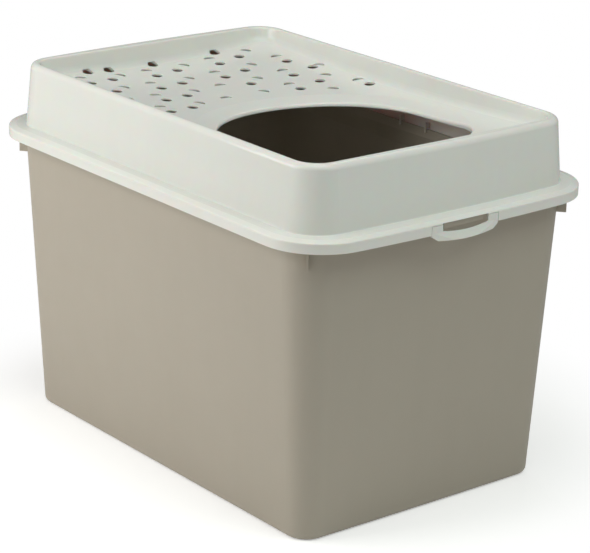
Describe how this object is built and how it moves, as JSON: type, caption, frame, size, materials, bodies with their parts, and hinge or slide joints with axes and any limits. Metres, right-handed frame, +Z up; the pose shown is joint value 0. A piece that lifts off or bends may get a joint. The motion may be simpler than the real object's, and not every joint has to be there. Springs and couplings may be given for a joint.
{
  "type": "top entry litter box",
  "caption": "Deep tapered litter tub with a lift-off lid: a raised collar round a sunken, vented deck, a large arched opening for the cat to enter from above, and a snap tab at each end.",
  "frame": {"origin": "centre of the footprint, on the floor that the tub stands on", "axes": "+X across the box, +Y along its length from the end seen in the picture, which has the cat opening, to the vented end, +Z up"},
  "size_m": [0.3916, 0.5802, 0.394],
  "materials": {
    "tub_plastic": "fine satin moulded polypropylene, warm taupe",
    "lid_plastic": "smooth satin moulded polypropylene, off-white"
  },
  "bodies": {
    "tub": {"tub": "tub_plastic"},
    "lid": {"lid": "lid_plastic"},
    "front_latch": {"front_latch": "lid_plastic"},
    "rear_latch": {"rear_latch": "lid_plastic"}
  },
  "joints": [
    {"name": "lid_lift", "type": "slide", "parent": "tub", "child": "lid", "axis": [0, 0, 1], "range_m": [0, 0.12]},
    {"name": "front_latch_flex", "type": "hinge", "parent": "lid", "child": "front_latch", "pos_m": [0, -0.2868, 0.3232], "axis": [-1, 0, 0], "range_deg": [0, 7], "stiffness_Nm_per_rad": 0.5},
    {"name": "rear_latch_flex", "type": "hinge", "parent": "lid", "child": "rear_latch", "pos_m": [0, 0.2868, 0.3232], "axis": [1, 0, 0], "range_deg": [0, 7], "stiffness_Nm_per_rad": 0.5}
  ]
}
